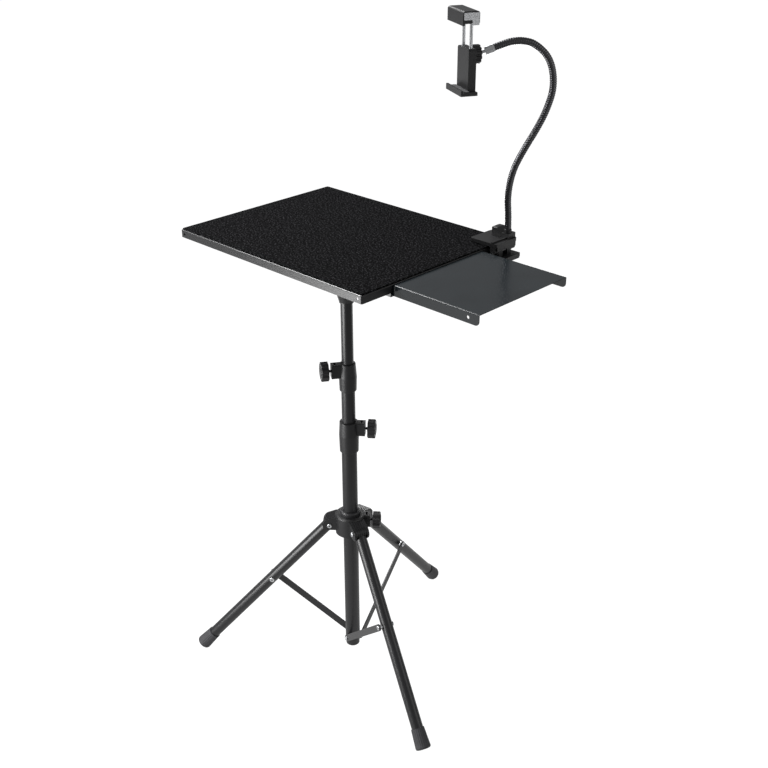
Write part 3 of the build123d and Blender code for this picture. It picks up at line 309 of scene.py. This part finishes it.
finishes = {
    "powder_coated_steel": powderCoat("powderCoatedSteel", "131314", "1B1B1D", 0.36, 0.7),
    "mouse_tray_enamel": powderCoat("powderCoatedSheet", "1B2024", "242A2E", 0.22, 0.7),
    "black_plastic": mouldedNylon("mouldedNylon", "0E0E0F", "18181A", 0.42, 0.9),
    "acetal_bush": mouldedNylon("mouldedAcetal", "1B1B1C", "29292B", 0.36, 0.7),
    "neck_sleeve": platedSteel("blackNickelSteel", "4A4A4C", "5E5E61", 0.14, 0.24),
    "zinc_plated_steel": platedSteel("zincPlatedSteel", "B9BBBE", "E4E5E6", 0.18, 0.38),
    "black_rubber": mouldedRubber(),
    "eva_foam": evaFoam(),
}


def finishNodes():
    for row in frame["record"]["subparts"]:
        piece = nodes[row["node"]]
        piece.data.materials.clear()
        piece.data.materials.append(finishes[row["material_slot"]])


finishNodes()
print("finishes on all nodes")


def newPiece(name, points, faces, finish, body, crease=180):  # a mesh on a body, sharp over crease degrees
    mesh = bpy.data.meshes.new(name)
    mesh.from_pydata(points.reshape(-1, 3).tolist(), [], faces)
    mesh.materials.append(finishes[finish])
    mesh.shade_smooth()
    mesh.set_sharp_from_angle(angle=math.radians(crease))
    piece = bpy.data.objects.new(name, mesh)
    bpy.context.collection.objects.link(piece)
    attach(piece, body)
    return piece


def ringFaces(rings, sides):  # quads between rings that close on themselves, and one face over each end
    ring, side = np.meshgrid(np.arange(rings - 1), np.arange(sides), indexing="ij")
    after = (side + 1) % sides
    corners = [ring * sides + side, ring * sides + after, (ring + 1) * sides + after, (ring + 1) * sides + side]
    last = (rings - 1) * sides
    ends = [list(range(sides))[::-1], list(range(last, last + sides))]
    return np.stack(corners, -1).reshape(-1, 4).tolist() + ends


# Foam pad: a cut sheet, its rim rolled over a small radius and its face gently uneven
pad = {
    "cornerMm": 2.5, "cornerSteps": 7, "sideSteps": 40, "rollMm": 0.7, "rollSteps": 5,
    "rings": 40, "poleShare": 0.02, "waveMm": 0.06, "waveFrom": 3,  # first ring that is uneven
    "wavePerMetre": (91, 117), "waveShift": 1.3,  # radians
}


def padOutline(halfX, halfY, corner):
    # four quarter circles joined by straight sides that are cut into equal steps, counter-clockwise
    quarter = np.linspace(0, np.pi / 2, pad["cornerSteps"])
    starts = np.arange(4) * np.pi / 2
    turn = starts[:, None] + quarter
    signs = np.array([[1, 1], [-1, 1], [-1, -1], [1, -1]])
    circle = np.stack([np.cos(turn), np.sin(turn)], -1)
    arcs = signs[:, None] * [halfX - corner, halfY - corner] + corner * circle
    share = np.linspace(0, 1, pad["sideSteps"])[1:-1, None]
    sides = arcs[:, -1:] + share * (np.roll(arcs[:, :1], -1, 0) - arcs[:, -1:])
    return np.concatenate([arcs, sides], 1).reshape(-1, 2)


def foamPad():
    # rings of the outline: up the side, over the rim on a quarter circle, then shrunk to the middle by shares
    low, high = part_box("foam_pad")
    middle, half = (low + high) / 2, (high - low) / 2
    roll = pad["rollMm"] * mm
    size = np.array([half.x, half.y])
    outline = padOutline(half.x, half.y, pad["cornerMm"] * mm)
    quarter = np.linspace(0, np.pi / 2, pad["rollSteps"])
    insets = np.concatenate([[0], roll * (1 - np.cos(quarter))])
    shares = np.linspace(1, pad["poleShare"], pad["rings"])[1:]
    scales = np.concatenate([1 - insets[:, None] / size, (1 - roll / size) * shares[:, None]])
    heights = np.concatenate([[low.z], high.z - roll + roll * np.sin(quarter), np.full(len(shares), high.z)])
    levels = np.broadcast_to(heights[:, None, None], (len(scales), len(outline), 1))
    points = np.concatenate([outline * scales[:, None], levels], 2)
    alongX, alongY = pad["wavePerMetre"]
    wave = np.sin(points[..., 0] * alongX) * np.sin(points[..., 1] * alongY + pad["waveShift"])
    points[pad["waveFrom"]:, :, 2] -= pad["waveMm"] * mm * (1 + wave[pad["waveFrom"]:]) / 2
    points[..., :2] += [middle.x, middle.y]
    piece = newPiece("foamPad", points, ringFaces(len(scales), len(outline)), "eva_foam", "tray")
    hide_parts("foam_pad")


foamPad()
print("foam pad laid")

# Bendable neck: a wound steel arm, its route the solid's own in an upright plane, side and height in mm
neck = {
    "route": [(0, 0), (0, 18), (-3, 48), (2.3, 84), (16.5, 114), (33, 143), (45, 169), (53.3, 201),
              (46.3, 236), (25, 256), (8, 260.3), (-7, 259.3), (-18.5, 255.6), (-29.5, 251.6)],
    "planeTurn": 44.2, "stepsPerBend": 40, "radiusMm": 4.9, "grooveMm": 0.7, "beadShare": 0.98, "pitchMm": 3.0,
    "sides": 36, "stepsPerTurn": 8,
}


def neckLine():
    # quadratic spline on the route's points: one parabola per inner point, between the runs' middles
    route = np.array(neck["route"]) * mm
    middles = (route[1:-2] + route[2:-1]) / 2
    start = np.concatenate([route[:1], middles])[:, None]
    stop = np.concatenate([middles, route[-1:]])[:, None]
    pull = route[1:-1][:, None]
    share = np.linspace(0, 1, neck["stepsPerBend"], endpoint=False)[None, :, None]
    curve = (1 - share) ** 2 * start + 2 * share * (1 - share) * pull + share ** 2 * stop
    curve = np.concatenate([curve.reshape(-1, 2), route[-1:]])
    length = np.concatenate([[0], np.cumsum(np.linalg.norm(np.diff(curve, axis=0), axis=1))])
    turns = int(length[-1] / (neck["pitchMm"] * mm))
    along = np.linspace(0, length[-1], turns * neck["stepsPerTurn"] + 1)
    line = np.stack([np.interp(along, length, curve[:, k]) for k in (0, 1)], -1)
    return line, along


def bendableNeck():
    # a circle carried along the line; its radius dips in a groove that winds round once per pitch
    line, along = neckLine()
    heading = np.gradient(line, axis=0)
    heading /= np.linalg.norm(heading, axis=1, keepdims=True)
    turn = np.arange(neck["sides"]) / neck["sides"] * 2 * np.pi
    phase = (along[:, None] / (neck["pitchMm"] * mm) + turn / (2 * np.pi)) % 1
    bead = np.sqrt(1 - (2 * phase - 1) ** 2 * neck["beadShare"])
    radius = (neck["radiusMm"] - neck["grooveMm"] * (1 - bead)) * mm
    planeTurn = math.radians(neck["planeTurn"])
    side = np.array([math.cos(planeTurn), math.sin(planeTurn), 0])
    across = np.array([-side[1], side[0], 0])
    up = np.array([0, 0, 1])
    bend = heading[:, 1:] * side - heading[:, :1] * up  # in the plane, square to the heading
    low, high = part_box("neck_base_ferrule")
    base = np.array([(low.x + high.x) / 2, (low.y + high.y) / 2, high.z])
    centre = base + line[:, :1] * side + line[:, 1:] * up
    rim = np.cos(turn)[None, :, None] * bend[:, None] + np.sin(turn)[None, :, None] * across
    points = centre[:, None] + radius[..., None] * rim
    piece = newPiece("bendableNeck", points, ringFaces(len(line), neck["sides"]), "neck_sleeve", "tray")
    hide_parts("neck")


bendableNeck()
print("neck wound")


def nodePoints(name):  # a node's mesh points in the frame
    flat = np.empty(len(nodes[name].data.vertices) * 3)
    nodes[name].data.vertices.foreach_get("co", flat)
    return flat.reshape(-1, 3)


def jointAxis(name):
    return np.array(next(joint["axis"] for joint in frame["joints"] if joint["name"] == name), float)


def squareTo(axis):  # two directions square to an axis and to each other, right-handed with it
    first = np.cross([0, 0, 1], axis)
    first /= np.linalg.norm(first)
    return first, np.cross(axis, first)


def span(points, way):  # least and greatest reach of the points along a direction
    reach = points @ way
    return np.array([reach.min(), reach.max()])


def axisMiddle(points, axis):  # the point of a round piece's axis that is level with the origin
    return sum(way * span(points, way).mean() for way in squareTo(axis))


def turnedRings(radii, heights, centre, axis, sides):
    # circles round an axis at the heights, each with one radius or one per side
    first, second = squareTo(axis)
    turn = np.arange(sides) / sides * 2 * np.pi
    rim = np.cos(turn)[:, None] * first + np.sin(turn)[:, None] * second
    radii = np.broadcast_to(np.reshape(radii, (len(heights), -1)), (len(heights), sides))
    return centre + np.reshape(heights, (-1, 1, 1)) * axis + radii[..., None] * rim


# Foot caps: moulded rubber with shallow flutes, flat where they meet the floor
foot = {
    "leanDeg": 41.2, "lengthMm": 33, "boreMm": 9.6, "mouthMm": 10.8, "endMm": 12.5, "roundMm": 3,
    "flutes": 22, "fluteMm": 0.45, "fadeShare": 0.18, "poleMm": 0.3,
    "sides": 176, "steps": 26, "rollSteps": 6, "creaseDeg": 50,
}


def footCap(name):
    # a cone round the leg: its radius dips once per flute, less towards both ends, and its end rolls in
    hinge = jointAxis(name + "_leg_fold")
    lean = math.radians(foot["leanDeg"])
    along = math.sin(lean) * np.cross(hinge, [0, 0, 1]) - math.cos(lean) * np.array([0, 0, 1])
    start = span(nodePoints(name + "_foot"), along)[0]
    centre = axisMiddle(nodePoints(name + "_leg"), along) + start * along
    share = np.linspace(0, 1, foot["steps"])
    turn = np.arange(foot["sides"]) / foot["sides"] * 2 * np.pi
    fade = np.clip(np.minimum(share, 1 - share) / foot["fadeShare"], 0, 1)
    dip = foot["fluteMm"] * fade[:, None] * (1 - np.cos(foot["flutes"] * turn)) / 2
    cone = foot["mouthMm"] + (foot["endMm"] - foot["mouthMm"]) * share[:, None] - dip
    roll = np.linspace(0, np.pi / 2, foot["rollSteps"])[1:]
    rolled = foot["endMm"] - foot["roundMm"] * (1 - np.cos(roll))
    plain = np.ones((1, foot["sides"]))
    radii = [foot["boreMm"] * plain, cone, rolled[:, None] * plain, foot["poleMm"] * plain]
    straight = foot["lengthMm"] - foot["roundMm"]
    heights = [[0], share * straight, straight + foot["roundMm"] * np.sin(roll), [foot["lengthMm"]]]
    points = turnedRings(np.concatenate(radii) * mm, np.concatenate(heights) * mm, centre, along, foot["sides"])
    points[..., 2] = np.maximum(points[..., 2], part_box(name + "_foot")[0].z)
    faces = ringFaces(len(points), foot["sides"])
    piece = newPiece(name + "FootCap", points, faces, "black_rubber", name + "_leg", foot["creaseDeg"])
    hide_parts(name + "_foot")


legNames = ["front", "rear", "left"]
for legName in legNames:
    footCap(legName)
print("foot caps moulded")

# Knob caps and threads: a turned plug in each knob's face, and the screw's thread between knob and boss
knob = {
    "names": ["hub", "lower", "upper"], "sides": 48, "creaseDeg": 35,
    "capMm": [(9.4, -0.5), (9.4, 0.4), (9.1, 0.8), (8.3, 0.8), (7.8, 0.3), (3.0, 0.3), (2.6, 0.1), (0.2, 0.1)],
    "exposedMm": 3.3, "pitchMm": 0.8, "rootMm": 2.03, "crestMm": 2.3, "stepsPerTurn": 8, "threadSides": 24,
}


def knobDetail(name):
    # cap: circles of the listed radius and height over the face
    # thread: a circle that swells once per pitch, the swelling winding round
    axis = jointAxis(name + "_knob_turn")
    body = name + "_knob"
    points = nodePoints(body)
    middle = axisMiddle(points, axis)
    rear, face = span(points, axis)
    profile = np.array(knob["capMm"]) * mm
    cap = turnedRings(profile[:, 0], profile[:, 1], middle + face * axis, axis, knob["sides"])
    faces = ringFaces(len(cap), knob["sides"])
    newPiece(name + "KnobCap", cap, faces, "black_plastic", body, knob["creaseDeg"])
    steps = int(knob["exposedMm"] / knob["pitchMm"] * knob["stepsPerTurn"]) + 1
    along = np.linspace(-knob["exposedMm"], 0, steps)
    turn = np.arange(knob["threadSides"]) / knob["threadSides"]
    swell = np.abs(2 * ((along[:, None] / knob["pitchMm"] - turn) % 1) - 1)
    radii = (knob["rootMm"] + (knob["crestMm"] - knob["rootMm"]) * swell) * mm
    thread = turnedRings(radii, along * mm, middle + rear * axis, axis, knob["threadSides"])
    newPiece(name + "Thread", thread, ringFaces(steps, knob["threadSides"]), "neck_sleeve", body)


for knobName in knob["names"]:
    knobDetail(knobName)
print("knob caps and threads turned")

# Rivet bore shade: a black plug a little below each hollow rivet's face, painted shade for the dark inside of the
# bore
rivet = {"plugMm": [(1.36, -1.1), (1.36, -0.45), (0.1, -0.45)], "sides": 20, "hubReachMm": 10, "creaseDeg": 35}


def paintedBoreShade(name, body, ends):
    # one turned plug per end; an end is the rivet's points and the way that it faces
    profile = np.array(rivet["plugMm"]) * mm
    spots = []
    for points, way in ends:
        face = axisMiddle(points, way) + span(points, way)[1] * way
        spots.append(turnedRings(profile[:, 0], profile[:, 1], face, way, rivet["sides"]))
    single = ringFaces(len(profile), rivet["sides"])
    faces = [[corner + number * len(profile) * rivet["sides"] for corner in face]
             for number in range(len(spots)) for face in single]
    # the black plugs are painted shade, where the inside of the bore falls dark
    newPiece(name, np.array(spots), faces, "black_rubber", body, rivet["creaseDeg"])


def rivetDetail():
    hubEnds = []
    for name in legNames:
        hinge = jointAxis(name + "_leg_fold")
        paintedBoreShade(name + "LegBore", name + "_leg", [(nodePoints(name + "_leg_rivet"), hinge)])
        paintedBoreShade(name + "BraceBore", name + "_brace", [(nodePoints(name + "_brace_rivet"), -hinge)])
        points = nodePoints("hub_leg_rivets")
        outward = (points - columnAxis) @ np.cross(hinge, [0, 0, 1])
        points = points[outward > rivet["hubReachMm"] * mm]
        hubEnds += [(points, hinge), (points, -hinge)]
    paintedBoreShade("hubBores", "hub", hubEnds)


rivetDetail()
print("rivet bores set")

# Grip pads: ribbed rubber strips on the jaws of holder and clip
grip = {"ribMm": 2.3, "grooveMm": 0.4, "stepsPerRib": 8, "creaseDeg": 40}


def ribbedPad(name, node, along, facesUp, body):
    # a wave across the strip, one period per rib, carried along its length
    along = np.array(along, float)
    across, up = np.cross([0, 0, 1], along), np.array([0, 0, 1])
    points = nodePoints(node)
    ends, sides, levels = [span(points, way) for way in (along, across, up)]
    ribs = round((sides[1] - sides[0]) / (grip["ribMm"] * mm))
    share = np.linspace(1, 0, ribs * grip["stepsPerRib"] + 1)
    groove = grip["grooveMm"] * mm * (1 - np.cos(2 * np.pi * ribs * share)) / 2
    face = levels[1] - groove if facesUp else levels[0] + groove
    back = levels[0] if facesUp else levels[1]
    outline = np.concatenate([[(sides[0], back), (sides[1], back)],
                              np.stack([sides[0] + share * (sides[1] - sides[0]), face], -1)])
    outline = outline if facesUp else outline[::-1]
    rings = [end * along + outline[:, :1] * across + outline[:, 1:] * up for end in ends]
    piece = newPiece(name, np.array(rings), ringFaces(2, len(outline)), "black_rubber", body, grip["creaseDeg"])
    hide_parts(node)


holderAcross = jointAxis("holder_tilt")
ribbedPad("upperGrip", "holder_upper_grip", holderAcross, False, "holder_jaw")
ribbedPad("lowerGrip", "holder_lower_grip", holderAcross, True, "holder")
ribbedPad("upperClipPad", "clip_upper_pad", (0, 1, 0), False, "tray")
ribbedPad("lowerClipPad", "clip_lower_pad", (0, 1, 0), True, "clip_lower")
print("grip pads ribbed")

# Jaw end plates: the steel core of the holder's upper jaw, bare at both ends, with a corner cut out
endPlate = {
    "thickMm": 0.4, "frontMm": 1.5, "rearMm": 0.8, "topMm": 1.8, "footMm": 0.3, "cutShares": (0.55, 0.42),
    "creaseDeg": 30,
}


def jawEndPlate(name, end):
    # an L of six corners, inset from the jaw's sides, pushed out along the jaw's width
    rear, up = jointAxis("holder_roll"), np.array([0, 0, 1])
    points = nodePoints("holder_upper_jaw")
    width, depth, height = [span(points, way) for way in (holderAcross, rear, up)]
    front, back = depth + np.array([endPlate["frontMm"], -endPlate["rearMm"]]) * mm
    low, top = height + np.array([endPlate["footMm"], -endPlate["topMm"]]) * mm
    cutDepth = front + endPlate["cutShares"][0] * (back - front)
    cutTop = low + endPlate["cutShares"][1] * (top - low)
    corners = np.array([(cutDepth, low), (back, low), (back, top),
                        (front, top), (front, cutTop), (cutDepth, cutTop)])
    start = width[end] - (1 - end) * endPlate["thickMm"] * mm
    rings = [(start + step * mm) * holderAcross + corners[:, :1] * rear + corners[:, 1:] * up
             for step in (0, endPlate["thickMm"])]
    faces = ringFaces(2, len(corners))
    newPiece(name, np.array(rings), faces, "zinc_plated_steel", "holder_jaw", endPlate["creaseDeg"])


jawEndPlate("leftJawPlate", 0)
jawEndPlate("rightJawPlate", 1)
print("jaw end plates set")


# Flags on stands: a box lights all but the pieces named, or those alone
def setFlags():
    for name, (share, *pieces) in studio["flags"].items():
        flagged = bpy.data.collections.new(name + "Flag")
        for piece in pieces:
            flagged.objects.link(bpy.data.objects[piece])
        for held in flagged.collection_objects:
            held.light_linking.link_state = share
        bpy.data.objects[name].light_linking.receiver_collection = flagged


setFlags()
print("flags set")
